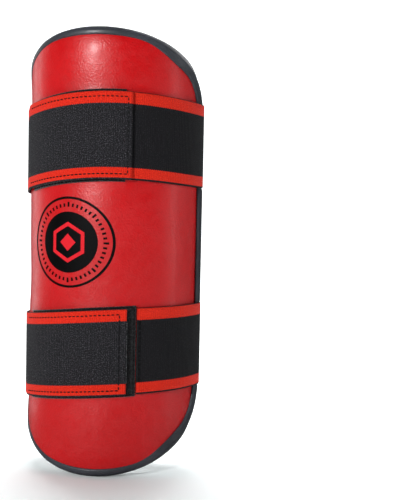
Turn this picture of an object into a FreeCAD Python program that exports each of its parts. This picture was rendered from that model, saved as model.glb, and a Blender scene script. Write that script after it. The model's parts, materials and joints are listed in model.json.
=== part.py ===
"""Forearm guard for martial arts: a padded half-round shell with two elastic hook-and-loop straps.

Frame, in millimetres: +Z runs along the limb axis, the front cover faces -Y, and the mouth
opens towards +Y. The origin is on the limb axis, half-way along the guard. An angle on the wall
is measured about the limb axis from the front centre line (-Y), positive towards +X.
"""

import FreeCAD, Part
import math
import os

Vector = FreeCAD.Vector
UP = Vector(0, 0, 1)

# Shell
GUARD_LENGTH = 257.0
COVER_RADIUS = 53.0         # outer face of the front cover, about the limb axis
WALL = 12.0
HALF_ANGLE = math.radians(87.0)
END_RADIUS = 112.0          # of each end's long arc, on the unrolled wall
CORNER_RADIUS = 45.0        # of the four corners, on the unrolled wall

# Layers of the shell, from the limb outwards
LINING = 1.0
SOFT_FOAM = 4.6
COVER = 1.2

# Binding round the edge
BINDING_FRONT = 3.5         # width that shows on the cover
BINDING_BACK = 8.0          # width that shows on the lining
RIM_ROUND = 3.5             # rounding of the bound edge
BINDING_SEAM = 0.8          # from the thread to the binding's own edge

# Straps
STRAP_HEIGHTS = {"upper": 67.5, "lower": -57.0}
ELASTIC_WIDTH = 50.0
ELASTIC = 1.6
TAPE_WIDTH = 52.5
LOOP_TAPE = 0.9
HOOK_TAPE = 0.8
PILE_GAP = 0.3              # the engaged pile between hook and loop
EDGE_GAP = 0.2              # between the elastic and the cover or the bound edge
LOOP_START = math.radians(-51.0)
LOOP_END = {"upper": math.radians(20.0), "lower": math.radians(28.0)}
ANCHOR_START = {"upper": math.radians(20.6), "lower": math.radians(28.6)}
HOOK_START = math.radians(-48.0)
FLAP_END = {"upper": math.radians(23.4), "lower": math.radians(21.9)}
HOOK_TO_FLAP_END = {"upper": math.radians(3.6), "lower": math.radians(1.0)}
FLAP_START = math.radians(-75.0)    # the free side of the left fold

# Thread
THREAD = 0.6                # width of a stitch line
THREAD_PROUD = 0.15         # less than EDGE_GAP, so the elastic passes over it
WOVEN_EDGE = 6.0            # coloured stripe along each edge of the elastic
FLAP_SEAM_FROM_END = {"upper": math.radians(2.4), "lower": math.radians(4.2)}
ANCHOR_SEAM = math.radians(0.9)     # from the anchor's start
ANCHOR_SEAM_WIDTH = math.radians(1.9)
TAPE_SEAM = 1.2             # from the loop tape's edge to its stitch line

# Emblem
EMBLEM_ANGLE = math.radians(-16.2)
EMBLEM_HEIGHT = 6.3
RING_OUTER = 26.3
RING_INNER = 24.9
DISC_RADIUS = 17.6
TRANSFER = 0.2

# Worked out from the above
INNER_RADIUS = COVER_RADIUS - WALL
MID_RADIUS = COVER_RADIUS - WALL / 2
LINING_OUT = INNER_RADIUS + LINING
SOFT_OUT = LINING_OUT + SOFT_FOAM
COVER_IN = COVER_RADIUS - COVER
HALF_WIDTH = HALF_ANGLE * COVER_RADIUS
END_CENTRE = GUARD_LENGTH / 2 - END_RADIUS
CORNER_SIDE = HALF_WIDTH - CORNER_RADIUS
CORNER_CENTRE = END_CENTRE + math.sqrt((END_RADIUS - CORNER_RADIUS) ** 2 - CORNER_SIDE ** 2)
BACK_SEAM = BINDING_BACK - BINDING_SEAM - THREAD
FRONT_SEAM = BINDING_FRONT + BINDING_SEAM
FOLD_ANGLE = HALF_ANGLE - RIM_ROUND / COVER_RADIUS
ANCHOR_IN = COVER_RADIUS + EDGE_GAP
FLAP_IN = COVER_RADIUS + LOOP_TAPE + PILE_GAP + HOOK_TAPE
FLAP_OUT = FLAP_IN + ELASTIC
RIGHT_FOLD_RADIUS = ANCHOR_IN - MID_RADIUS
LEFT_FOLD_RADIUS = FLAP_IN - MID_RADIUS


def wall_point(radius, angle, z):
    return Vector(radius * math.sin(angle), -radius * math.cos(angle), z)


# The bound outline, on the wall unrolled at the cover's radius

def end_height(side, inset):
    """Height of the outline, moved in by inset, at a distance side from the centre line."""
    end_radius = END_RADIUS - inset
    corner_radius = CORNER_RADIUS - inset
    tangent_side = end_radius * CORNER_SIDE / (END_RADIUS - CORNER_RADIUS)
    if abs(side) <= tangent_side:
        return END_CENTRE + math.sqrt(end_radius ** 2 - side ** 2)
    beyond = min(abs(side) - CORNER_SIDE, corner_radius)
    return CORNER_CENTRE + math.sqrt(corner_radius ** 2 - beyond ** 2)


def outline_point(across, along, inset):
    """across and along run from -1 to 1 between the sides and between the ends."""
    side = (HALF_WIDTH - inset) * math.sin(across * math.pi / 2)
    return wall_point(COVER_RADIUS, side / COVER_RADIUS, along * end_height(side, inset))


def steps(count):
    return [-1 + 2 * i / (count - 1) for i in range(count)]


ACROSS = steps(33)
ALONG = steps(7)


def wall_surface(radius, inset):
    """The pattern on a round wall. Every radius takes the cover's own curves, so neighbours meet exactly."""
    surface = Part.BSplineSurface()
    surface.interpolate([[outline_point(a, b, inset) for b in ALONG] for a in ACROSS])
    scale = radius / COVER_RADIUS
    for across in range(1, surface.NbUPoles + 1):
        for along in range(1, surface.NbVPoles + 1):
            pole = surface.getPole(across, along)
            surface.setPole(across, along, Vector(pole.x * scale, pole.y * scale, pole.z))
    return surface


def borders(surface):
    across_0, across_1, along_0, along_1 = surface.bounds()
    curves = [surface.uIso(across_0), surface.uIso(across_1), surface.vIso(along_0), surface.vIso(along_1)]
    return [curve.toShape() for curve in curves]


def strips(first, second):
    """The four faces that join two borders."""
    return [Part.makeRuledSurface(a, b) for a, b in zip(borders(first), borders(second))]


def solid_of(faces):
    shell = Part.Shell(faces)
    shell.sewShape()
    solid = Part.Solid(shell)
    if solid.Volume < 0:
        solid.reverse()
    return solid


def layer(inner, outer, inset):
    surfaces = [wall_surface(inner, inset), wall_surface(outer, inset)]
    return solid_of([surface.toShape() for surface in surfaces] + strips(*surfaces))


def outline_ring(section):
    """A closed band that follows the outline. section lists its corners in turn as (radius, inset)."""
    surfaces = [wall_surface(radius, inset) for radius, inset in section]
    faces = []
    for first, second in zip(surfaces, surfaces[1:] + surfaces[:1]):
        faces += strips(first, second)
    return solid_of(faces)


def rounded_rim():
    """The bound edge's section: a corner of RIM_ROUND at each face and straight between them."""
    rim = []
    for turn in (0, 30, 60, 90):
        angle = math.radians(turn)
        rim.append((RIM_ROUND * (1 - math.cos(angle)), RIM_ROUND * (1 - math.sin(angle))))
    inner = [(INNER_RADIUS + depth, inset) for depth, inset in rim]
    outer = [(COVER_RADIUS - depth, inset) for depth, inset in reversed(rim)]
    return inner + outer


# Pieces of strap, as bands about a vertical axis

def ring_sector(centre, radii, angles, height, width):
    """A band of two radii between two angles about centre, width tall about height."""
    def at(radius, angle):
        return centre + wall_point(radius, angle, height - width / 2)

    (inner, outer), (start, end) = radii, angles
    middle = (start + end) / 2
    edges = [
        Part.Arc(at(outer, start), at(outer, middle), at(outer, end)).toShape(),
        Part.LineSegment(at(outer, end), at(inner, end)).toShape(),
        Part.Arc(at(inner, end), at(inner, middle), at(inner, start)).toShape(),
        Part.LineSegment(at(inner, start), at(outer, start)).toShape(),
    ]
    return Part.Face(Part.Wire(edges)).extrude(Vector(0, 0, width))


def wall_band(inner, outer, start, end, height, width):
    return ring_sector(Vector(0, 0, 0), (inner, outer), (start, end), height, width)


def stitch_box(radius, start, end, height, half_height):
    """Stitches round a rectangle: two long lines joined by a line at each end."""
    outside = wall_band(radius, radius + THREAD_PROUD, start, end, height, 2 * half_height)
    turn = THREAD / radius
    hole = wall_band(
        radius - THREAD, radius + THREAD, start + turn, end - turn, height, 2 * (half_height - THREAD)
    )
    return outside.cut(hole)


# The shell

def front_cover():
    return layer(COVER_IN, COVER_RADIUS, BINDING_FRONT)


def firm_foam():
    return layer(SOFT_OUT, COVER_IN, BINDING_FRONT)


def soft_foam():
    return layer(LINING_OUT, SOFT_OUT, BINDING_FRONT)


def inner_lining():
    return layer(INNER_RADIUS, LINING_OUT, BINDING_BACK)


def edge_binding():
    """The section starts on the lining side. Its last two corners are the thread's own edges."""
    hidden = [
        (LINING_OUT, BINDING_FRONT),
        (LINING_OUT, BINDING_BACK),
        (INNER_RADIUS, BINDING_BACK),
        (INNER_RADIUS, BACK_SEAM + THREAD),
        (INNER_RADIUS, BACK_SEAM),
    ]
    return outline_ring(rounded_rim() + hidden)


def stitch_ring(base, top, inset):
    return outline_ring([(base, inset), (base, inset + THREAD), (top, inset + THREAD), (top, inset)])


def binding_thread():
    """One line shows on the lining and one on the front, where the lockstitch comes through."""
    back = stitch_ring(INNER_RADIUS, INNER_RADIUS - THREAD_PROUD, BACK_SEAM)
    front = stitch_ring(COVER_RADIUS, COVER_RADIUS + THREAD_PROUD, FRONT_SEAM)
    return Part.makeCompound([back, front])


# The emblem printed on the cover

def emblem_drum(radius):
    """A cylinder through the cover, square to it at the emblem's centre."""
    outward = wall_point(1, EMBLEM_ANGLE, 0)
    start = wall_point(INNER_RADIUS, EMBLEM_ANGLE, EMBLEM_HEIGHT)
    return Part.makeCylinder(radius, 2 * WALL, start, outward)


def emblem_film():
    half_angle = RING_OUTER / COVER_RADIUS * 1.3
    start, end = EMBLEM_ANGLE - half_angle, EMBLEM_ANGLE + half_angle
    height, width = EMBLEM_HEIGHT, 3 * RING_OUTER
    return wall_band(COVER_RADIUS, COVER_RADIUS + TRANSFER, start, end, height, width)


def emblem_ring():
    return emblem_film().common(emblem_drum(RING_OUTER)).cut(emblem_drum(RING_INNER))


def emblem_disc():
    return emblem_film().common(emblem_drum(DISC_RADIUS))


# The straps. Seen from above, the elastic is a belt round two fold circles, one at each edge.

def fold_centre(side):
    return Vector(side * MID_RADIUS * math.sin(FOLD_ANGLE), -MID_RADIUS * math.cos(FOLD_ANGLE), 0)


def span_tilt():
    """The back span's slope, as the common outer tangent of the two fold circles."""
    distance = fold_centre(1).x - fold_centre(-1).x
    return math.asin((LEFT_FOLD_RADIUS - RIGHT_FOLD_RADIUS) / distance)


def loop_tape(strap):
    return wall_band(
        COVER_RADIUS, COVER_RADIUS + LOOP_TAPE, LOOP_START, LOOP_END[strap],
        STRAP_HEIGHTS[strap], TAPE_WIDTH,
    )


def loop_tape_thread(strap):
    turn = TAPE_SEAM / COVER_RADIUS
    return stitch_box(
        COVER_RADIUS + LOOP_TAPE, LOOP_START + turn, LOOP_END[strap] - turn,
        STRAP_HEIGHTS[strap], TAPE_WIDTH / 2 - TAPE_SEAM + THREAD,
    )


def strap_anchor(strap):
    return wall_band(
        ANCHOR_IN, ANCHOR_IN + ELASTIC, ANCHOR_START[strap], FOLD_ANGLE,
        STRAP_HEIGHTS[strap], ELASTIC_WIDTH,
    )


def anchor_thread(strap):
    start = ANCHOR_START[strap] + ANCHOR_SEAM
    return stitch_box(
        ANCHOR_IN + ELASTIC, start, start + ANCHOR_SEAM_WIDTH,
        STRAP_HEIGHTS[strap], ELASTIC_WIDTH / 2 - WOVEN_EDGE,
    )


def right_fold(strap):
    radii = (RIGHT_FOLD_RADIUS, RIGHT_FOLD_RADIUS + ELASTIC)
    angles = (FOLD_ANGLE, math.pi - span_tilt())
    return ring_sector(fold_centre(1), radii, angles, STRAP_HEIGHTS[strap], ELASTIC_WIDTH)


def left_fold(strap):
    radii = (LEFT_FOLD_RADIUS, LEFT_FOLD_RADIUS + ELASTIC)
    angles = (-math.pi - span_tilt(), -FOLD_ANGLE)
    turn = ring_sector(fold_centre(-1), radii, angles, STRAP_HEIGHTS[strap], ELASTIC_WIDTH)
    side = wall_band(
        FLAP_IN, FLAP_OUT, -FOLD_ANGLE, FLAP_START, STRAP_HEIGHTS[strap], ELASTIC_WIDTH
    )
    return turn.fuse(side)


def back_span(strap):
    outward = Vector(math.sin(span_tilt()), math.cos(span_tilt()), 0)
    low = Vector(0, 0, STRAP_HEIGHTS[strap] - ELASTIC_WIDTH / 2)
    right = fold_centre(1) + outward * RIGHT_FOLD_RADIUS + low
    left = fold_centre(-1) + outward * LEFT_FOLD_RADIUS + low
    corners = [right, left, left + outward * ELASTIC, right + outward * ELASTIC, right]
    return Part.Face(Part.makePolygon(corners)).extrude(UP * ELASTIC_WIDTH)


def strap_flap(strap):
    return wall_band(
        FLAP_IN, FLAP_OUT, FLAP_START, FLAP_END[strap], STRAP_HEIGHTS[strap], ELASTIC_WIDTH
    )


def hook_tape(strap):
    return wall_band(
        FLAP_IN - HOOK_TAPE, FLAP_IN, HOOK_START, FLAP_END[strap] - HOOK_TO_FLAP_END[strap],
        STRAP_HEIGHTS[strap], ELASTIC_WIDTH - 2 * THREAD,
    )


def flap_thread(strap):
    return stitch_box(
        FLAP_OUT, HOOK_START, FLAP_END[strap] - FLAP_SEAM_FROM_END[strap],
        STRAP_HEIGHTS[strap], ELASTIC_WIDTH / 2 - WOVEN_EDGE + 2 * THREAD,
    )


SHELL_PIECES = {
    "front_cover": front_cover,
    "firm_foam_layer": firm_foam,
    "soft_foam_layer": soft_foam,
    "inner_lining": inner_lining,
    "edge_binding": edge_binding,
    "binding_thread": binding_thread,
    "emblem_ring": emblem_ring,
    "emblem_disc": emblem_disc,
}
STRAP_PIECES = {
    "loop_tape": loop_tape,
    "loop_tape_thread": loop_tape_thread,
    "strap_anchor": strap_anchor,
    "anchor_thread": anchor_thread,
    "right_fold": right_fold,
    "back_span": back_span,
    "left_fold": left_fold,
    "strap_flap": strap_flap,
    "hook_tape": hook_tape,
    "flap_thread": flap_thread,
}


def write(name, shape):
    shape.exportStep(os.path.join("parts", name + ".step"))
    print(f"{name}: {len(shape.Solids)} solids, {shape.Volume:.0f} mm3, valid {shape.isValid()}")


os.makedirs("parts", exist_ok=True)
for name, make in SHELL_PIECES.items():
    write(name, make())
for strap in STRAP_HEIGHTS:
    for name, make in STRAP_PIECES.items():
        write(f"{strap}_{name}", make(strap))
print("fold centre", fold_centre(1), "span tilt, degrees", math.degrees(span_tilt()))
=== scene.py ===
"""Forearm guard: the looks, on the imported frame. Lengths are in metres, in the CAD model's frame.

+Z runs along the limb, the cover faces -Y. An angle on the wall is measured about the limb axis
from the front centre line, positive towards +X. The unrolled pattern has side, the distance from
the centre line along the cover, and z.
"""

import json
import math

import bmesh
import bpy
import numpy as np
from mathutils import Matrix, Vector, noise
from mathutils.bvhtree import BVHTree


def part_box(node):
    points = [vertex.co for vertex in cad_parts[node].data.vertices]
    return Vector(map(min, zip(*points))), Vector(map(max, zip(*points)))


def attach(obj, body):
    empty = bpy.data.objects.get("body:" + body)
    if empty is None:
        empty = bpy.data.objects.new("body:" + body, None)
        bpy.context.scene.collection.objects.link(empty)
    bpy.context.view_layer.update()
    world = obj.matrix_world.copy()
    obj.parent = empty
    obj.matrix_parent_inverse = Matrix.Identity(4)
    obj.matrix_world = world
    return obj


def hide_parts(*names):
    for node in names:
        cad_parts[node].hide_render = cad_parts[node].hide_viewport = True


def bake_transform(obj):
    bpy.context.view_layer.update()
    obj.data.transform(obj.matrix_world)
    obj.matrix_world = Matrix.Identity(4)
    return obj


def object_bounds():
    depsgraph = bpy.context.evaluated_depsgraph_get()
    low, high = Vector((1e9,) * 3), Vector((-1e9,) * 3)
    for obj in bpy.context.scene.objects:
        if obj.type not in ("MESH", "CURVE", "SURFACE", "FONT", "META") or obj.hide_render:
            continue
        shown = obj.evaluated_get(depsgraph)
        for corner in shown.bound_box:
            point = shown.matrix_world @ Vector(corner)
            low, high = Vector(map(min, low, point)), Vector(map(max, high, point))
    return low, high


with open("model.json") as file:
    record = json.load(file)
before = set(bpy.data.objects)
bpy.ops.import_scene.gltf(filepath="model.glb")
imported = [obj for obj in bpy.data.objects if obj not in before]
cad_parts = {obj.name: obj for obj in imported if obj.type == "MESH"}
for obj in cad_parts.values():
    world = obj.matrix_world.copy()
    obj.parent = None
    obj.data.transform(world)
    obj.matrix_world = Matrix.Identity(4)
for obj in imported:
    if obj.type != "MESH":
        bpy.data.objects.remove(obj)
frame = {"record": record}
CAD_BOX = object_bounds()
MM = 0.001

# Sizes from the frame
COVER_RADIUS = -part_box("front_cover")[0].y
INNER_RADIUS = frame["record"]["mounts"][0]["dims"]["r_mm"] * MM
GUARD_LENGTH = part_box("edge_binding")[1].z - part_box("edge_binding")[0].z
ELASTIC_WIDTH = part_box("upper_back_span")[1].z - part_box("upper_back_span")[0].z
TAPE_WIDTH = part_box("upper_loop_tape")[1].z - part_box("upper_loop_tape")[0].z
STRAP_Z = {strap: sum(corner.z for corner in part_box(f"{strap}_back_span")) / 2
           for strap in ("upper", "lower")}

# The pattern's outline, unrolled at the cover's radius
HALF_ARC = math.radians(87)             # from the front centre line to a side edge
HALF_WIDTH = HALF_ARC * COVER_RADIUS
END_RADIUS = 112 * MM
CORNER_RADIUS = 45 * MM
END_CENTRE = GUARD_LENGTH / 2 - END_RADIUS
CORNER_SIDE = HALF_WIDTH - CORNER_RADIUS
CORNER_CENTRE = END_CENTRE + math.sqrt((END_RADIUS - CORNER_RADIUS) ** 2 - CORNER_SIDE ** 2)
CORNER_TURN = math.atan2(CORNER_CENTRE - END_CENTRE, CORNER_SIDE)
QUARTER = (CORNER_CENTRE, CORNER_RADIUS * CORNER_TURN, END_RADIUS * (math.pi / 2 - CORNER_TURN))
OUTLINE_LENGTH = 4 * sum(QUARTER)
UPPER_CORNER_RISE = 5.6 * MM            # how much fuller the upper corners are

# The padded shell
PILLOW = 2.2 * MM                       # the most that the padding pushes a wall out
COVER_THICKNESS = 1.2 * MM
LINING_THICKNESS = 1.0 * MM
LINING_WRINKLE = 0.6 * MM
FIRM_SHARES = (0.88, 0.47)              # the foams' faces: 0 is the inner wall, 1 the outer one
SOFT_SHARES = (0.45, 0.12)

# Straps
ELASTIC = 1.6 * MM                      # its thickness
ANCHOR_IN = COVER_RADIUS + 0.2 * MM     # the inner face of the sewn part
FLAP_IN = COVER_RADIUS + 2.0 * MM       # the inner face of the flap, on the hook tape
LEFT_IN = COVER_RADIUS + 0.4 * MM       # the inner face of the free part, behind the hook tape
FOLD_ANGLE = HALF_ARC - 3.5 * MM / COVER_RADIUS
MID_RADIUS = (COVER_RADIUS + INNER_RADIUS) / 2
LOOP_START = math.radians(-51)
LOOP_END = {"upper": math.radians(20), "lower": math.radians(28)}
ANCHOR_START = {"upper": math.radians(20.6), "lower": math.radians(28.6)}
FLAP_END = {"upper": math.radians(23.4), "lower": math.radians(21.9)}
HOOK_START = math.radians(-48)
HOOK_FROM_END = {"upper": math.radians(3.6), "lower": math.radians(0.2)}
FLAP_SEAM_FROM_END = {"upper": math.radians(2.4), "lower": math.radians(4.2)}
ANCHOR_SEAM = (math.radians(1.1), math.radians(1.9))
CLIMB = (math.radians(-64), math.radians(-51))      # where the flap rises onto the hook tape
TILT = {"upper": 2.7 * MM, "lower": 4.5 * MM}       # rise from the middle to the right side
DROOP = {"upper": 6.3 * MM, "lower": 2.6 * MM}      # how far the sides hang below the middle
STRIPE = 6.9 * MM                       # the red stripe along each edge
SELVEDGE_AND_SHADOW = (1.1 * MM, 0.35 * MM)        # the dark line outside it, on the lower and the upper edge: partly the elastic's dark edge, partly painted shadow, so it is wider on the lower edge
SHADED_ALONG = (48 * MM, 75 * MM)         # painted shade: the sewn part is painted darker, as it lies in shade, and this is where that fades
FLAP_ALONG = 300 * MM                   # where the flap's weave starts, beyond the painted shade
PRESS_COVER = (TAPE_WIDTH / 2 + 1.8 * MM, 7.2 * MM)         # half width and fade of the dents
PRESS_BINDING = (ELASTIC_WIDTH / 2 - 2.5 * MM, 3.8 * MM)

# Stitches
STITCH = 3.2 * MM                       # spacing of the binding's
STITCH_PITCH = 2.6 * MM                 # spacing of the straps'

# Emblem: radii from its centre
EMBLEM_ANGLE = math.radians(-16.2)
EMBLEM_Z = 6.3 * MM
EMBLEM_SPREAD = 1.05                    # the print is a little wider than high
RING_RADII = (24.9 * MM, 25.6 * MM, 26.3 * MM)
MARKS = 48
MARK_HALF_TURN = 0.028
MARK_INNER = 20.4 * MM
MARK_OUTER = 22.4 * MM
LONG_MARK_OUTER = 23.2 * MM             # every sixth
DISC_RADIUS = 17.6 * MM
HEXAGON = (11.8 * MM, 9.4 * MM)         # outer and inner
DIAMOND = (5.0 * MM, 0.1 * MM)
PRINT_LIFT = 0.10 * MM
FIGURE_LIFT = 0.17 * MM

# Camera
CAMERA_AZIMUTH = 15.6                   # degrees
CAMERA_ELEVATION = 3.15
CAMERA_LEAN = 0.9
CAMERA_DISTANCE = 0.65
CAMERA_LENS = 75.1
CAMERA_ASIDE = (-0.0806, -0.0008, -1)   # the guard's place in the view


def rgb(red, green, blue):
    """A display colour, 0 to 255, as linear RGBA."""
    channels = [c / 255 for c in (red, green, blue)]
    linear = [c / 12.92 if c <= 0.04045 else ((c + 0.055) / 1.055) ** 2.4 for c in channels]
    return (*linear, 1.0)


# Materials

class Shade:
    """A material being built: node() adds a node and returns it."""

    def __init__(self, name):
        self.material = bpy.data.materials.new(name)
        self.material.use_nodes = True
        self.tree = self.material.node_tree
        self.shader = self.tree.nodes["Principled BSDF"]

    def node(self, kind, inputs=None, **settings):
        made = self.tree.nodes.new("ShaderNode" + kind)
        for key, value in settings.items():
            setattr(made, key, value)
        for key, value in (inputs or {}).items():
            self.put(made.inputs[key], value)
        return made

    def put(self, socket, value):
        if isinstance(value, bpy.types.NodeSocket):
            self.tree.links.new(value, socket)
        else:
            socket.default_value = value

    def math(self, operation, *values):
        made = self.node("Math", dict(enumerate(values)), operation=operation)
        return made.outputs[0]

    def step(self, value, low, high, to_low=0.0, to_high=1.0):
        inputs = {"Value": value, "From Min": low, "From Max": high,
                  "To Min": to_low, "To Max": to_high}
        return self.node("MapRange", inputs, interpolation_type="SMOOTHSTEP").outputs[0]

    def mix(self, factor, first, second):
        made = self.node("Mix", {0: factor, 6: first, 7: second}, data_type="RGBA")
        return made.outputs[2]

    def noise(self, place, scale, detail=2.0, roughness=0.5):
        inputs = {"Vector": place, "Scale": scale, "Detail": detail, "Roughness": roughness}
        return self.node("TexNoise", inputs).outputs["Fac"]

    def cells(self, place, scale, feature="F1"):
        inputs = {"Vector": place, "Scale": scale}
        return self.node("TexVoronoi", inputs, feature=feature).outputs["Distance"]

    def object_place(self, stretch=(1, 1, 1)):
        place = self.node("TexCoord").outputs["Object"]
        return self.node("Mapping", {"Vector": place, "Scale": stretch}).outputs[0]

    def strip_place(self):
        """Along the strip and across it, in metres."""
        both = self.node("SeparateXYZ", {0: self.node("UVMap", uv_map="strip").outputs[0]})
        return both.outputs[0], both.outputs[1]

    def bump(self, height, distance, strength=1.0, under=None):
        inputs = {"Height": height, "Distance": distance, "Strength": strength}
        if under is not None:
            inputs["Normal"] = under
        return self.node("Bump", inputs).outputs[0]

    def finish(self, colour, roughness, normal=None, **uniform):
        self.put(self.shader.inputs["Base Color"], colour)
        self.put(self.shader.inputs["Roughness"], roughness)
        if normal is not None:
            self.put(self.shader.inputs["Normal"], normal)
        for key, value in uniform.items():
            self.put(self.shader.inputs[key.replace("_", " ")], value)
        return self.material


def leather(name, main, worn, deep, gloss, pore):
    """Synthetic leather: pebbled grain, fine pores, slight mottling."""
    shade = Shade(name)
    place = shade.object_place()
    mottle = shade.noise(place, 38, 3)
    pebble = shade.cells(place, 1150, "SMOOTH_F1")
    fine = shade.noise(place, 2600, 2)
    height = shade.math("ADD", shade.math("MULTIPLY", pebble, 0.8),
                        shade.math("MULTIPLY", fine, 0.5))
    soft = shade.bump(shade.noise(place, 62, 2), 0.35 * MM, 0.5)
    normal = shade.bump(height, pore, 1.0, soft)
    colour = shade.mix(shade.step(mottle, 0.35, 0.7), main, worn)
    colour = shade.mix(shade.step(pebble, 0.3, 0.75, 0.0, 0.25), colour, deep)
    roughness = shade.step(shade.noise(place, 190, 3), 0.3, 0.7, gloss - 0.05, gloss + 0.08)
    return shade.finish(colour, roughness, normal,
                        Specular_IOR_Level=0.45, Coat_Weight=0.2, Coat_Roughness=0.24)


def elastic(name):
    """Ribbed elastic with a coloured stripe woven along each edge."""
    shade = Shade(name)
    along, across = shade.strip_place()
    from_edge = shade.math("SUBTRACT", ELASTIC_WIDTH / 2, shade.math("ABSOLUTE", across))
    # The elastic's dark edge, widened on the lower edge into a painted shadow line under the strap;
    # the stripe stops short of it.
    selvedge_and_shadow = shade.step(across, -1 * MM, 1 * MM, *SELVEDGE_AND_SHADOW)
    rib = shade.math("SINE", shade.math("MULTIPLY", along, 2 * math.pi / (1.25 * MM)))
    pick = shade.math("SINE", shade.math("MULTIPLY", across, 2 * math.pi / (0.8 * MM)))
    place = shade.node("UVMap", uv_map="strip").outputs[0]
    fleck = shade.noise(place, 1700, 2, 0.7)
    cloud = shade.noise(place, 240, 3)
    serrated = shade.math("MULTIPLY_ADD", rib, 0.16 * MM, from_edge)
    past_selvedge_and_shadow = shade.math("SUBTRACT", from_edge, selvedge_and_shadow)
    stripe = shade.math("MULTIPLY",
                        shade.step(serrated, STRIPE + 0.15 * MM, STRIPE - 0.15 * MM),
                        shade.step(past_selvedge_and_shadow, -0.15 * MM, 0.15 * MM))
    yarn = shade.mix(shade.step(fleck, 0.3, 0.75), rgb(184, 18, 8), rgb(232, 50, 20))
    yarn = shade.mix(shade.step(pick, -0.2, 1.0, 0.0, 0.35), yarn, rgb(150, 12, 8))
    web = shade.mix(shade.step(fleck, 0.5, 0.74), rgb(22, 21, 24), rgb(100, 98, 104))
    # Painted shade: the grooves between the ribs are darker.
    web = shade.mix(shade.step(rib, -0.9, 0.6, 0.4, 0.0), web, rgb(10, 10, 12))
    web = shade.mix(shade.step(cloud, 0.35, 0.75, 0.0, 0.3), web, rgb(34, 34, 39))
    # Painted shade: the sewn part of the elastic is darkened, fading out along it.
    web = shade.mix(shade.step(along, *SHADED_ALONG, 0.75, 0.0), web, rgb(18, 17, 20))
    weave = shade.math("MULTIPLY_ADD", pick, 0.3, rib)
    weave = shade.math("MULTIPLY_ADD", fleck, 1.6, weave)
    normal = shade.bump(weave, 0.09 * MM, 0.8)
    return shade.finish(shade.mix(stripe, web, yarn), 0.86, normal,
                        Sheen_Weight=0.03, Sheen_Roughness=0.5, Specular_IOR_Level=0.2)


def pile(name, main, tip, scale, depth):
    """Loop or hook tape."""
    shade = Shade(name)
    place = shade.node("UVMap", uv_map="strip").outputs[0]
    tuft = shade.cells(place, scale)
    fuzz = shade.noise(place, scale * 2.2, 3)
    height = shade.math("MULTIPLY_ADD", fuzz, 0.5, shade.math("SUBTRACT", 1.0, tuft))
    # Painted light and shade: the tufts' tops are lighter and the gaps between them darker.
    colour = shade.mix(shade.step(tuft, 0.1, 0.6), tip, main)
    return shade.finish(colour, 0.92, shade.bump(height, depth),
                        Sheen_Weight=0.3, Specular_IOR_Level=0.25)


def satin(name):
    """Lining satin: a smooth weave with a soft sheen, drawn into fine upright wrinkles."""
    shade = Shade(name)
    place = shade.object_place()
    wrinkle = shade.noise(shade.object_place((1, 1, 0.1)), 130, 4, 0.6)
    fleck = shade.noise(place, 1500, 2)
    weave = shade.noise(shade.object_place((1, 1, 0.3)), 2600, 2)
    normal = shade.bump(weave, 0.05 * MM, 0.7, shade.bump(wrinkle, 0.8 * MM, 0.6))
    # Painted sheen and shade: the wrinkles' crests are lighter and their folds darker.
    colour = shade.mix(shade.step(wrinkle, 0.35, 0.7), rgb(31, 31, 41), rgb(45, 45, 56))
    colour = shade.mix(shade.step(fleck, 0.55, 0.8, 0.0, 0.5), colour, rgb(96, 96, 110))
    roughness = shade.step(wrinkle, 0.3, 0.7, 0.5, 0.62)
    return shade.finish(colour, roughness, normal,
                        Sheen_Weight=0.2, Sheen_Roughness=0.4, Specular_IOR_Level=0.4)


def foam(name, main, cell):
    """Open foam, with darker cells: painted shade in its pores."""
    shade = Shade(name)
    place = shade.object_place()
    bubbles = shade.cells(place, 900)
    colour = shade.mix(shade.step(bubbles, 0.1, 0.6), cell, main)
    return shade.finish(colour, 0.95, shade.bump(bubbles, 0.12 * MM))


def thread(name, main, light):
    """Sewing thread, mottled by its twist."""
    shade = Shade(name)
    place = shade.object_place()
    twist = shade.noise(place, 3200, 2)
    return shade.finish(shade.mix(twist, main, light), 0.7, shade.bump(twist, 0.05 * MM),
                        Specular_IOR_Level=0.2)


def print_film(name, main, other):
    """Printed film: it takes on the leather's grain and has fine wear."""
    shade = Shade(name)
    place = shade.object_place()
    grain = shade.cells(place, 1150, "SMOOTH_F1")
    worn = shade.noise(place, 900, 4, 0.7)
    colour = shade.mix(shade.step(worn, 0.62, 0.8, 0.0, 0.5), main, other)
    return shade.finish(colour, 0.6, shade.bump(grain, 0.05 * MM), Specular_IOR_Level=0.15)


def paper(name):
    """White paper that glows a little behind the guard, so that the ground stays white there."""
    shade = Shade(name)
    place = shade.object_place()
    mottle = shade.noise(place, 3, 2)
    depth = shade.node("SeparateXYZ", {0: place}).outputs[1]
    glow = shade.step(depth, -0.04, 0.08, 0.03, 0.7)
    return shade.finish(shade.mix(mottle, rgb(246, 251, 252), rgb(249, 255, 255)), 0.9,
                        Emission_Color=(1, 1, 1, 1), Emission_Strength=glow)


RED_LEATHER = leather("cover_leather", rgb(187, 2, 8), rgb(192, 8, 16), rgb(156, 2, 6),
                      gloss=0.34, pore=0.15 * MM)
DARK_LEATHER = leather("binding_leather", rgb(52, 54, 60), rgb(66, 68, 75), rgb(28, 29, 33),
                       gloss=0.42, pore=0.06 * MM)
SATIN = satin("lining_fabric")
FIRM_FOAM = foam("firm_foam", rgb(40, 40, 42), rgb(22, 22, 24))
SOFT_FOAM = foam("soft_foam", rgb(200, 196, 180), rgb(150, 146, 130))
ELASTIC_WEB = elastic("elastic_webbing")
LOOP_PILE = pile("loop_tape", rgb(14, 14, 15), rgb(44, 44, 47), 1500, 0.3 * MM)
HOOK_PILE = pile("hook_tape", rgb(40, 41, 44), rgb(120, 122, 126), 1100, 0.4 * MM)
DARK_THREAD = thread("dark_thread", rgb(6, 6, 7), rgb(20, 20, 22))
BLACK_PRINT = print_film("emblem_print", rgb(3, 3, 4), rgb(40, 8, 10))
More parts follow.
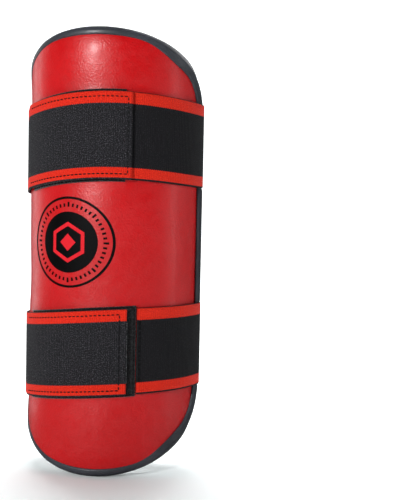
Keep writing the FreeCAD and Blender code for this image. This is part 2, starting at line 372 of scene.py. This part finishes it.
RED_PRINT = print_film("emblem_print_red", rgb(205, 24, 36), rgb(120, 14, 20))


# Mesh building

def turn_outward(mesh):
    """Makes the faces of each closed skin look outward."""
    work = bmesh.new()
    work.from_mesh(mesh)
    bmesh.ops.recalc_face_normals(work, faces=work.faces)
    work.to_mesh(mesh)
    work.free()


def add_mesh(name, points, faces, material, strip=None):
    """A smooth mesh. strip gives each point's place along and across a band, in metres."""
    mesh = bpy.data.meshes.new(name)
    mesh.from_pydata([tuple(p) for p in points], [], faces)
    if strip is not None:
        layer = mesh.uv_layers.new(name="strip")
        corners = np.zeros(len(mesh.loops), np.int32)
        mesh.loops.foreach_get("vertex_index", corners)
        layer.data.foreach_set("uv", np.asarray(strip, np.float32)[corners].ravel())
    mesh.materials.append(material)
    mesh.shade_smooth()
    turn_outward(mesh)
    made = bpy.data.objects.new(name, mesh)
    bpy.context.scene.collection.objects.link(made)
    return made


def tube(name, rings, material, closed=False, strip=None):
    """A skin over rings of points, each one section. closed joins the last ring to the first."""
    rings = np.asarray(rings, float)
    count, size = rings.shape[:2]
    faces = []
    for i in range(count if closed else count - 1):
        near, far = i * size, (i + 1) % count * size
        for j in range(size):
            k = (j + 1) % size
            faces.append((near + j, near + k, far + k, far + j))
    if not closed:
        last = (count - 1) * size
        for j in range(size // 2 - 1):
            across = (j, size - 1 - j, size - 2 - j, j + 1)
            faces.append(across)
            faces.append(tuple(last + k for k in reversed(across)))
    return add_mesh(name, rings.reshape(-1, 3), faces, material, strip)


def apply_modifiers(piece):
    """Turns what the modifiers make into the piece's own mesh."""
    graph = bpy.context.evaluated_depsgraph_get()
    mesh = bpy.data.meshes.new_from_object(piece.evaluated_get(graph))
    piece.modifiers.clear()
    piece.data = mesh


def smooth(t):
    """0 to 1 without corners, flat beyond."""
    t = np.clip(t, 0, 1)
    return t * t * (3 - 2 * t)


def bumpy(points, size, seed):
    """Smooth noise, about -1 to 1, for each point."""
    return np.array([noise.noise(Vector((p[0] / size + seed, p[1] / size, p[2] / size)))
                     for p in points])


# The outline

def end_height(side, inset):
    """Half the pattern's length at this distance from the centre line, inset from its edge."""
    end_radius = END_RADIUS - inset
    corner_radius = CORNER_RADIUS - inset
    tangent_side = end_radius * CORNER_SIDE / (END_RADIUS - CORNER_RADIUS)
    if abs(side) <= tangent_side:
        return END_CENTRE + math.sqrt(end_radius ** 2 - side ** 2)
    beyond = min(abs(side) - CORNER_SIDE, corner_radius)
    return CORNER_CENTRE + math.sqrt(corner_radius ** 2 - beyond ** 2)


def outline(count):
    """Points round the unrolled outline at equal steps, as (side, z) and the outward direction."""
    quarter = sum(QUARTER)
    straight, corner, _ = QUARTER
    found = []
    for i in range(count):
        far = i / count * 4 * quarter
        turn, far = divmod(far, quarter)
        if turn % 2:
            far = quarter - far
        if far < straight:
            place, out = (HALF_WIDTH, far), (1.0, 0.0)
        elif far < straight + corner:
            angle = (far - straight) / CORNER_RADIUS
            out = (math.cos(angle), math.sin(angle))
            place = (CORNER_SIDE + CORNER_RADIUS * out[0], CORNER_CENTRE + CORNER_RADIUS * out[1])
        else:
            angle = CORNER_TURN + (far - straight - corner) / END_RADIUS
            out = (math.cos(angle), math.sin(angle))
            place = (END_RADIUS * out[0], END_CENTRE + END_RADIUS * out[1])
        flip = ((1, 1), (-1, 1), (-1, -1), (1, -1))[int(turn)]
        found.append((place[0] * flip[0], place[1] * flip[1], out[0] * flip[0], out[1] * flip[1]))
    return np.array(found)


def height(side, z):
    """The height of an unrolled place. The upper corners are fuller than the lower ones."""
    return z + UPPER_CORNER_RISE * (side / HALF_WIDTH) ** 2 * smooth((z - 20 * MM) / (80 * MM))


def roll_up(side, z, radius):
    """Unrolled places, as points on a wall of that radius."""
    angle = np.asarray(side) / COVER_RADIUS
    return np.stack([radius * np.sin(angle), -radius * np.cos(angle), height(side, z)], axis=-1)


def pattern(across_count, along_count, inset):
    """A grid over the pattern, as side and z. It is finer near the edges."""
    across = np.linspace(-1, 1, across_count)
    sides = (HALF_WIDTH - inset) * np.sin(across * math.pi / 2)
    heights = np.array([end_height(side, inset) for side in sides])
    crowding = 0.62 * math.pi / 2
    along = np.sin(np.linspace(-1, 1, along_count) * crowding) / math.sin(crowding)
    return np.repeat(sides[:, None], along_count, 1), heights[:, None] * along[None, :]


# The padded shell: one closed skin, blown up a little by a cloth simulation

def two_walls(outer, inner):
    """Rings of points for tube(): down the outer wall and back up the inner one."""
    return np.concatenate([outer, inner[:, ::-1]], axis=1)


def blown_shell(inset=3 * MM, across_count=41, along_count=61):
    """The walls of the pad after its padding has pushed them out between the seams."""
    side, z = pattern(across_count, along_count, inset)
    to_edge = np.minimum(HALF_WIDTH - inset - abs(side), GUARD_LENGTH / 2 - abs(z))
    edge = smooth(to_edge / (10 * MM))
    outer = roll_up(side, z, COVER_RADIUS - 0.8 * MM * (1 - edge))
    inner = roll_up(side, z, INNER_RADIUS + 0.9 * MM)
    start = two_walls(outer, inner)
    pad = tube("pad_skin", start, RED_LEATHER)
    sewn = pad.vertex_groups.new(name="sewn")
    under_strap = under_straps(side, z, *PRESS_COVER)
    weight = np.zeros(start.shape[:2])      # 1 where the skin is held
    rows = side.shape[1]
    weight[:, :rows] = np.maximum(under_strap, 0)
    weight[[0, -1], :] = 1
    weight[:, [0, rows - 1, rows, -1]] = 1
    for index, value in enumerate(weight.ravel()):
        if value > 0:
            sewn.add([index], float(value), "REPLACE")
    cloth = pad.modifiers.new("Cloth", "CLOTH")
    cloth.settings.use_pressure = True
    cloth.settings.uniform_pressure_force = 4
    cloth.settings.vertex_group_mass = "sewn"
    cloth.settings.effector_weights.gravity = 0
    cloth.settings.quality = 6
    cloth.settings.shrink_min = -0.02
    frames = 20
    cloth.point_cache.frame_start, cloth.point_cache.frame_end = 1, frames
    for step in range(1, frames + 1):
        bpy.context.scene.frame_set(step)
    apply_modifiers(pad)
    moved = np.array([v.co for v in pad.data.vertices]).reshape(start.shape) - start
    bpy.data.objects.remove(pad)
    bpy.context.scene.frame_set(1)
    # The raw result is too full and too wavy for taut leather.
    length = np.linalg.norm(moved, axis=2, keepdims=True)
    moved = moved * (PILLOW * np.tanh(length / PILLOW) / np.maximum(length, 1e-9))
    out = relaxed(moved[:, :rows], rounds=14)
    back = relaxed(moved[:, rows:][:, ::-1], rounds=2)
    return outer + out * (1 - under_strap[:, :, None]), inner + back


def relaxed(moved, rounds):
    """Evens out a grid of movements, as taut leather does, and keeps its rim."""
    for _ in range(rounds):
        moved[1:-1, 1:-1] = (moved[:-2, 1:-1] + moved[2:, 1:-1]
                             + moved[1:-1, :-2] + moved[1:-1, 2:]) / 4
    return moved


def strap_rise(strap, angle):
    """How far the strap's middle line lies above its CAD height at an angle on the wall."""
    share = np.sin(np.clip(angle, -FOLD_ANGLE, FOLD_ANGLE)) / math.sin(FOLD_ANGLE)
    return TILT[strap] * share - DROOP[strap] * share ** 2


def under_straps(side, z, half_width, fade):
    """1 where a strap presses on the wall, fading to 0 above and below it."""
    pressed = 0.0
    for strap, middle in STRAP_Z.items():
        away = abs(height(side, z) - strap_rise(strap, side / COVER_RADIUS) - middle)
        pressed = np.maximum(pressed, smooth((half_width + fade - away) / fade))
    return pressed


def outward_of(points):
    """Unit normals of a wall, straight out from the limb axis."""
    flat = points * np.array([1, 1, 0])
    return flat / np.linalg.norm(flat, axis=-1, keepdims=True)


outer_wall, inner_wall = blown_shell()


def shell_piece(name, outer, inner, material, slot, replaced, levels=1):
    """A layer of the pad between two walls, in place of a CAD node of the root."""
    piece = tube(name, two_walls(outer, inner), material)
    piece.modifiers.new("Subdivision", "SUBSURF").levels = levels
    apply_modifiers(piece)
    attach(piece, "root")
    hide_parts(replaced)
    return piece


def between(share):
    """The wall at a share of the way from the inner one to the outer one."""
    return inner_wall + (outer_wall - inner_wall) * share


COVER_UNDER = outer_wall - outward_of(outer_wall) * COVER_THICKNESS
cover = shell_piece("front_cover_skin", outer_wall, COVER_UNDER, RED_LEATHER, "cover_leather",
                    "front_cover", levels=2)
# The lining has upright wrinkles, so its noise is stretched along the limb.
WRINKLES = bumpy(inner_wall.reshape(-1, 3) * np.array([1, 1, 0.14]), size=8 * MM, seed=3.7)
WRINKLES = WRINKLES.reshape(inner_wall.shape[:2])
LINING_FACE = inner_wall + outward_of(inner_wall) * (LINING_WRINKLE * WRINKLES[:, :, None])
LINING_UNDER = LINING_FACE + outward_of(inner_wall) * LINING_THICKNESS
lining = shell_piece("inner_lining_skin", LINING_UNDER, LINING_FACE, SATIN, "lining_fabric",
                     "inner_lining", levels=2)
firm = shell_piece("firm_foam_pad", *map(between, FIRM_SHARES), FIRM_FOAM, "firm_foam",
                   "firm_foam_layer")
soft = shell_piece("soft_foam_pad", *map(between, SOFT_SHARES), SOFT_FOAM, "soft_foam",
                   "soft_foam_layer")


# The binding: a roll round the edge, with a seam groove and a thin lip on the lining side

# (radius, inset) round the section, from the lip on the cover to the lip on the lining
BINDING_SECTION = [
    (51.4, 4.2), (52.3, 4.45), (52.9, 4.2), (53.2, 3.6), (53.0, 2.95), (53.1, 2.3), (52.8, 1.3),
    (52.0, 0.3), (50.6, -0.6), (49.0, -1.1), (47.4, -1.1), (46.2, -0.6), (45.4, 0.2),
    (45.0, 1.1), (44.5, 0.5), (43.7, -0.1), (42.7, 0.0), (41.7, 0.6), (40.9, 1.5), (40.3, 2.8),
    (40.2, 4.1), (40.6, 5.2), (41.2, 6.1), (41.75, 6.6), (41.6, 7.1), (41.0, 7.4), (40.85, 7.9),
    (41.2, 8.5), (42.0, 8.8), (42.9, 8.6), (43.0, 6.0), (44.0, 3.5), (47.5, 2.0), (50.4, 3.0),
]
SEAM = (41.45 * MM, 6.75 * MM)          # (radius, inset) of the thread
BULGE = 1.3 * MM                        # how far the roll stands above its section, at the sides
PLEAT = 0.7 * MM
LEFT_SHARE = 0.3                        # the left side is less full than the right one


def fullness(side, z):
    """How full the roll is, and how much wider than its section its cover side is."""
    full = float(smooth((abs(side) - 25 * MM) / (35 * MM))) * (1 if side > 0 else LEFT_SHARE)
    wide = -0.12 + full * (0.92 + 0.35 * float(smooth((abs(z) - 50 * MM) / (40 * MM))))
    return full, wide


def binding():
    """The roll: its section swept round the outline, and reshaped on each side as it goes."""
    loop = outline(960)
    section = np.array(BINDING_SECTION) * MM
    crown = np.sin(math.pi * np.clip(section[:, 1] / (4.6 * MM), 0, 1)) ** 0.6
    pleat = np.cos(2 * math.pi * (section[:, 1] - 2.3 * MM) / (1.6 * MM))
    rings = []
    flat = [(side, 0, z) for side, z in loop[:, :2]]
    puckers = bumpy(flat, size=7 * MM, seed=9.1)
    waves = bumpy(flat, size=38 * MM, seed=4.2)
    lengths = np.arange(len(loop)) * (OUTLINE_LENGTH / len(loop))
    for (side, z, out_side, out_z), pucker, wave, far in zip(loop, puckers, waves, lengths):
        stitch = math.cos(2 * math.pi * far / STITCH)
        full, wide = fullness(side, z)
        pressed = float(under_straps(side, z, *PRESS_BINDING))
        radius, inset = section[:, 0].copy(), section[:, 1].copy()
        # the lining side, drawn in by the thread
        back = smooth((43.5 * MM - radius) / (1.5 * MM))
        drawn_in = 0.12 * MM * stitch * smooth((inset - 4 * MM) / (2 * MM))
        radius -= back * (0.25 * MM * pucker + drawn_in)
        inset += back * (0.3 * MM * pucker * smooth((inset - 5 * MM) / (3 * MM)))
        # the cover side, bulging except under the straps
        front = smooth((radius - 51 * MM) / (2 * MM))
        inset += front * (0.2 * MM * wave + 0.08 * MM * pucker + wide * inset)
        bulge = full * (BULGE * crown + PLEAT * pleat) * (1 - pressed)
        radius += front * (bulge - 0.25 * MM * pressed)
        rings.append(roll_up(side - out_side * inset, z - out_z * inset, radius))
    piece = tube("edge_binding_roll", rings, DARK_LEATHER, closed=True)
    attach(piece, "root")
    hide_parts("edge_binding")


binding()


# Stitches, as small beads of thread

def stitches(name, runs, length, width):
    """One piece of many stitches. runs lists (centre, direction, outward) for each."""
    around, along = 8, 5
    points, faces = [], []
    for centre, direction, outward in runs:
        direction, outward = Vector(direction).normalized(), Vector(outward).normalized()
        sideways = direction.cross(outward)
        first = len(points)
        for i in range(along):
            t = -1 + 2 * i / (along - 1)
            swell = max(0.25, math.sqrt(max(0.0, 1 - t * t)))
            for j in range(around):
                turn = 2 * math.pi * j / around
                round_it = sideways * math.cos(turn) + outward * math.sin(turn)
                points.append(Vector(centre) + direction * (t * length / 2)
                              + round_it * (swell * width / 2))
        for i in range(along - 1):
            for j in range(around):
                k = (j + 1) % around
                a, b = first + i * around, first + (i + 1) * around
                faces.append((a + j, a + k, b + k, b + j))
        faces.append(tuple(first + j for j in reversed(range(around))))
        faces.append(tuple(first + (along - 1) * around + j for j in range(around)))
    return add_mesh(name, points, faces, DARK_THREAD)


def binding_stitches():
    loop = outline(int(OUTLINE_LENGTH / STITCH))
    radius, inset = SEAM
    rows = roll_up(loop[:, 0] - loop[:, 2] * inset, loop[:, 1] - loop[:, 3] * inset, radius)
    after = np.roll(rows, -1, axis=0)
    runs = zip((rows + after) / 2, after - rows, -outward_of(rows))
    piece = stitches("binding_stitches", runs, length=2.5 * MM, width=0.6 * MM)
    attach(piece, "root")
    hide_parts("binding_thread")


binding_stitches()


# Straps

def strap_section(width, thickness, cells=26):
    """Round a flat band's section: (across, height) with rounded edges."""
    edge = thickness / 2
    flat = width / 2 - edge
    upper = [(a, thickness) for a in np.linspace(-flat, flat, cells)]
    turns = np.radians((45, 80, 100, 135))
    right = [(flat + edge * math.sin(t), edge + edge * math.cos(t)) for t in turns]
    lower = [(a, 0) for a in np.linspace(flat, -flat, cells)]
    left = [(-flat - edge * math.sin(t), edge - edge * math.cos(t)) for t in turns]
    return upper + right + lower + left


class Path:
    """A line seen from above, with the outward normal and the rise at each point."""

    def __init__(self):
        self.points = []

    def arc(self, centre, radius, start, end, strap, count):
        """Adds points round a centre. 0 faces the front, and the rise follows the strap."""
        for angle in np.linspace(start, end, count):
            out = np.array([math.sin(angle), -math.cos(angle)])
            place = np.array(centre) + radius * out
            self.points.append((place, out, strap_rise(strap, angle)))
        return self

    def line(self, target, out, rise, count):
        """Adds points straight on to the target."""
        start, _, first_rise = self.points[-1]
        for share in np.linspace(0, 1, count)[1:]:
            place = start + (np.array(target) - start) * share
            self.points.append((place, np.array(out), first_rise + (rise - first_rise) * share))
        return self


def band(name, path, z, width, thickness, material, start_length=0.0, swell=None):
    """A flat band along a path. Its strip coordinates start at start_length."""
    section = np.array(strap_section(width, thickness))
    rings, strip = [], []
    far = start_length
    for index, (place, out, rise) in enumerate(path.points):
        if index:
            far += float(np.linalg.norm(place - path.points[index - 1][0]))
        extra = swell(far - start_length) if swell else 0.0
        heights = section[:, 1] * (1 + extra)
        points = np.concatenate([place[None, :] + out[None, :] * heights[:, None],
                                 (z + rise + section[:, 0])[:, None]], axis=1)
        rings.append(points)
        strip.append(np.stack([np.full(len(section), far), section[:, 0]], axis=1))
    return tube(name, rings, material, strip=np.concatenate(strip))


def fold_centre(side):
    """The middle of the guard's side edge, which the strap turns round: 1 right, -1 left."""
    return (side * MID_RADIUS * math.sin(FOLD_ANGLE), -MID_RADIUS * math.cos(FOLD_ANGLE))


RIGHT_RADIUS = ANCHOR_IN - MID_RADIUS
LEFT_RADIUS = LEFT_IN - MID_RADIUS
SPAN_TILT = math.asin((LEFT_RADIUS - RIGHT_RADIUS) / (fold_centre(1)[0] - fold_centre(-1)[0]))
SPAN_OUT = np.array([math.sin(SPAN_TILT), math.cos(SPAN_TILT)])
AXIS = (0, 0)


def tip(end_far):
    """How much a strap's end swells where it is turned under, by distance from its start."""
    def swell(far):
        rise = float(smooth((far - end_far + 3.2 * MM) / (1.5 * MM)))
        fall = float(smooth((far - end_far + 1.0 * MM) / (1.0 * MM)))
        return 0.25 * rise * (1 - 0.9 * fall)
    return swell


def strap(which):
    """The strap's pieces: loop tape, elastic in two lengths that meet behind, and hook tape."""
    z = STRAP_Z[which]
    loop_path = Path().arc(AXIS, COVER_RADIUS - 0.1 * MM, LOOP_START, LOOP_END[which], which, 60)
    loop = band(f"{which}_loop_tape_band", loop_path, z, TAPE_WIDTH, 1.0 * MM, LOOP_PILE)
    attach(loop, "root")
    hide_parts(f"{which}_loop_tape")

    left_end = np.array(fold_centre(-1)) + SPAN_OUT * LEFT_RADIUS
    left_rise = strap_rise(which, -FOLD_ANGLE)
    around = Path().arc(AXIS, ANCHOR_IN, ANCHOR_START[which], FOLD_ANGLE, which, 60)
    around.arc(fold_centre(1), RIGHT_RADIUS, FOLD_ANGLE, math.pi - SPAN_TILT, which, 22)
    around.line(left_end, SPAN_OUT, left_rise, 60)
    back = band(f"{which}_strap_back", around, z, ELASTIC_WIDTH, ELASTIC, ELASTIC_WEB)
    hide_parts(f"{which}_strap_anchor", f"{which}_right_fold", f"{which}_back_span")
    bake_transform(back)

    over = Path().arc(fold_centre(-1), LEFT_RADIUS, -math.pi - SPAN_TILT, -FOLD_ANGLE, which, 24)
    for angle in np.linspace(-FOLD_ANGLE, FLAP_END[which], 111)[1:]:
        climb = float(smooth((angle - CLIMB[0]) / (CLIMB[1] - CLIMB[0])))
        over.arc(AXIS, LEFT_IN + (FLAP_IN - LEFT_IN) * climb, angle, angle, which, 1)
    turned = LEFT_RADIUS * (math.pi + SPAN_TILT - FOLD_ANGLE)
    flap_length = turned + FLAP_IN * (FLAP_END[which] + FOLD_ANGLE)
    flap = band(f"{which}_strap_front", over, z, ELASTIC_WIDTH, ELASTIC, ELASTIC_WEB,
                start_length=FLAP_ALONG, swell=tip(flap_length))
    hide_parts(f"{which}_left_fold", f"{which}_strap_flap")
    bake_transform(flap)

    if which == "lower":
        tip_end = FLAP_END[which]
        frayed = Path().arc(AXIS, FLAP_IN + 0.5 * MM, tip_end - 0.006, tip_end + 0.005, which, 4)
        fray = band("lower_flap_frayed_end", frayed, z, ELASTIC_WIDTH - 2 * STRIPE, 1.3 * MM,
                    HOOK_PILE)
        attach(fray, "lower_flap")

    hook_end = FLAP_END[which] - HOOK_FROM_END[which]
    hook_path = Path().arc(AXIS, FLAP_IN - 0.8 * MM, HOOK_START, hook_end, which, 70)
    hook = band(f"{which}_hook_tape_band", hook_path, z, ELASTIC_WIDTH - 1.2 * MM, 0.8 * MM,
                HOOK_PILE)
    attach(hook, f"{which}_flap")
    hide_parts(f"{which}_hook_tape")


for which in STRAP_Z:
    strap(which)


def box_stitches(which, part, radius, start, end, half_height, body, closed=True):
    """Stitches round a rectangle on the wall. Unclosed, its start side has none."""
    def at(corner):
        angle, rise = corner
        return np.array([radius * math.sin(angle), -radius * math.cos(angle),
                         STRAP_Z[which] + strap_rise(which, angle) + rise])

    corners = [(start, half_height), (end, half_height), (end, -half_height), (start, -half_height)]
    corners = np.array(corners + corners[:1] * closed)
    runs = []
    for first, last in zip(corners, corners[1:]):
        turn, rise = abs(last - first)
        count = max(1, round((turn * radius + rise) / STITCH_PITCH))
        for i in range(count):
            p = at(first + (last - first) * (i / count))
            q = at(first + (last - first) * ((i + 1) / count))
            middle = (p + q) / 2
            runs.append((middle, q - p, outward_of(middle)))
    piece = stitches(f"{which}_{part}_stitches", runs, length=STITCH_PITCH * 0.8, width=0.75 * MM)
    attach(piece, body)
    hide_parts(f"{which}_{part}_thread")


for which in STRAP_Z:
    margin = 1.2 * MM / COVER_RADIUS
    box_stitches(which, "loop_tape", COVER_RADIUS + 0.9 * MM, LOOP_START + margin,
                 LOOP_END[which] - margin, TAPE_WIDTH / 2 - 1.0 * MM, "root")
    seam_start, seam_end = (ANCHOR_START[which] + along for along in ANCHOR_SEAM)
    box_stitches(which, "anchor", ANCHOR_IN + ELASTIC, seam_start, seam_end,
                 ELASTIC_WIDTH / 2 - 8 * MM, "root")
    box_stitches(which, "flap", FLAP_IN + ELASTIC, HOOK_START - math.radians(2),
                 FLAP_END[which] - FLAP_SEAM_FROM_END[which], ELASTIC_WIDTH / 2 - 3.2 * MM,
                 f"{which}_flap", closed=False)


# The emblem, printed square to the cover at its own centre

COVER_TREE = BVHTree.FromPolygons([v.co for v in cover.data.vertices],
                                  [p.vertices for p in cover.data.polygons])
EMBLEM_OUT = Vector((math.sin(EMBLEM_ANGLE), -math.cos(EMBLEM_ANGLE), 0))
EMBLEM_SIDE = Vector((math.cos(EMBLEM_ANGLE), math.sin(EMBLEM_ANGLE), 0))


def emblem_point(x, z, lift):
    """A place of the print, just above the cover."""
    start = (EMBLEM_OUT * 2 * COVER_RADIUS + EMBLEM_SIDE * x * EMBLEM_SPREAD
             + Vector((0, 0, EMBLEM_Z + z)))
    place, normal = COVER_TREE.ray_cast(start, -EMBLEM_OUT)[:2]
    return place + normal * lift


def film(grids, lift):
    """Points and faces of several patches, each a grid of (x, z) on the emblem's plane."""
    points, faces = [], []
    for grid in grids:
        rows, columns = len(grid), len(grid[0])
        first = len(points)
        points += [emblem_point(x, z, lift) for line in grid for x, z in line]
        for i in range(rows - 1):
            for j in range(columns - 1):
                a, b = first + i * columns + j, first + (i + 1) * columns + j
                faces.append((a, a + 1, b + 1, b))
    return points, faces


def polar(radii, start, end, count):
    """A patch between radii and angles about the emblem's centre."""
    angles = np.linspace(start, end, count)
    return [[(r * math.sin(t), r * math.cos(t)) for t in angles] for r in radii]


def polygon_band(corners, outer, inner, per_side=8):
    """A band between two regular polygons that stand on a corner."""
    def rim(radius):
        found = []
        for i in range(corners):
            a, b = (2 * math.pi * k / corners for k in (i, i + 1))
            for share in np.linspace(0, 1, per_side, endpoint=False):
                found.append((radius * ((1 - share) * math.sin(a) + share * math.sin(b)),
                              radius * ((1 - share) * math.cos(a) + share * math.cos(b))))
        return found + found[:1]
    return [rim(r) for r in np.linspace(inner, outer, 3)]


def add_film(name, grids, lift, material, node=None):
    """A piece of the print, in place of a CAD node if one is named."""
    points, faces = film(grids, lift)
    piece = add_mesh(name, points, faces, material)
    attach(piece, "root")
    if node:
        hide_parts(node)


def emblem():
    full = 2 * math.pi
    marks = []
    for i, t in enumerate(np.arange(MARKS) * full / MARKS):
        radii = np.linspace(MARK_INNER, MARK_OUTER if i % 6 else LONG_MARK_OUTER, 3)
        marks.append(polar(radii, t - MARK_HALF_TURN, t + MARK_HALF_TURN, 3))
    ring = polar(RING_RADII, 0, full, 181)
    add_film("emblem_ring_print", [ring] + marks, PRINT_LIFT, BLACK_PRINT, "emblem_ring")
    disc = polar(np.linspace(0.2 * MM, DISC_RADIUS, 14), 0, full, 121)
    add_film("emblem_disc_print", [disc], PRINT_LIFT, BLACK_PRINT, "emblem_disc")
    figure = [polygon_band(6, *HEXAGON), polygon_band(4, *DIAMOND)]
    add_film("emblem_figure_print", figure, FIGURE_LIFT, RED_PRINT)


emblem()


# Floor, light and camera

def add_stage():
    """A pale floor that curves up into a backdrop."""
    floor = CAD_BOX[0].z - 1 * MM
    bend = 0.8
    profile = [(-2.0, 0.0), (1.2, 0.0)]
    profile += [(1.2 + bend * math.sin(t), bend - bend * math.cos(t))
                for t in np.radians(range(6, 91, 6))]
    profile += [(2.0, 4.0)]
    rows = [[(x, y, floor + z) for y, z in profile] for x in (-4.0, 4.0)]
    points = rows[0] + rows[1]
    count = len(profile)
    faces = [(i, i + count, i + count + 1, i + 1) for i in range(count - 1)]
    piece = add_mesh("floor", points, faces, paper("floor_paper"))
    piece.visible_glossy = False


def towards(azimuth, elevation):
    """The direction from the guard at these angles, in degrees. Azimuth 0 is in front, 90 is +X."""
    a, e = math.radians(azimuth), math.radians(elevation)
    return Vector((math.sin(a) * math.cos(e), -math.cos(a) * math.cos(e), math.sin(e)))


def add_light(name, azimuth, elevation, distance, size, power):
    """An area light that faces the guard."""
    data = bpy.data.lights.new(name, "AREA")
    data.shape = "RECTANGLE"
    data.size, data.size_y = size
    data.energy = power
    made = bpy.data.objects.new(name, data)
    back = towards(azimuth, elevation)
    made.location = back * distance
    made.rotation_mode = "QUATERNION"
    made.rotation_quaternion = back.to_track_quat("Z", "Y")
    made.visible_camera = False
    bpy.context.scene.collection.objects.link(made)


def add_sun(name, azimuth, elevation, strength, softness):
    """A far light, softness degrees wide, that whitens the floor evenly."""
    data = bpy.data.lights.new(name, "SUN")
    data.energy = strength
    data.angle = math.radians(softness)
    made = bpy.data.objects.new(name, data)
    made.rotation_euler = (math.radians(90 - elevation), 0, math.radians(azimuth))
    made.visible_glossy = False
    bpy.context.scene.collection.objects.link(made)


def add_camera():
    back = towards(CAMERA_AZIMUTH, CAMERA_ELEVATION)
    data = bpy.data.cameras.new("camera")
    data.lens = CAMERA_LENS
    camera = bpy.data.objects.new("camera", data)
    bpy.context.scene.collection.objects.link(camera)
    aside = Vector(CAMERA_ASIDE).rotation_difference(Vector((0, 0, -1)))
    lean = Matrix.Rotation(math.radians(CAMERA_LEAN), 4, "Z").to_quaternion()
    camera.rotation_mode = "QUATERNION"
    camera.rotation_quaternion = back.to_track_quat("Z", "Y") @ aside @ lean
    camera.location = back * CAMERA_DISTANCE
    bpy.context.scene.camera = camera


def add_world():
    """A dim world that the camera sees as white and that gloss barely picks up."""
    world = bpy.data.worlds.new("studio")
    bpy.context.scene.world = world
    world.use_nodes = True
    tree = world.node_tree
    background = tree.nodes["Background"]
    background.inputs["Color"].default_value = (1, 1, 1, 1)
    rays = tree.nodes.new("ShaderNodeLightPath").outputs
    last = None
    for kind, share in (("Is Camera Ray", 0.9), ("Is Glossy Ray", -0.07)):
        add = tree.nodes.new("ShaderNodeMath")
        add.operation = "MULTIPLY_ADD"
        add.inputs[1].default_value = share
        add.inputs[2].default_value = 0.1
        tree.links.new(rays[kind], add.inputs[0])
        if last:
            tree.links.new(last, add.inputs[2])
        last = add.outputs[0]
    tree.links.new(last, background.inputs["Strength"])


add_stage()
add_camera()
add_world()
add_sun("key", -20, 34, 0.6, 14)
add_sun("back", 197, 66, 3.0, 26)
add_light("strip", -18, 17, 1.4, (0.10, 0.10), 10)
add_light("side", -118, 8, 1.5, (0.7, 1.2), 3.4)
add_light("right", 93, 6, 1.6, (0.12, 1.2), 2.4)
add_light("behind", 165, 35, 1.6, (1.0, 1.0), 5)
bpy.context.scene.view_settings.view_transform = "Standard"
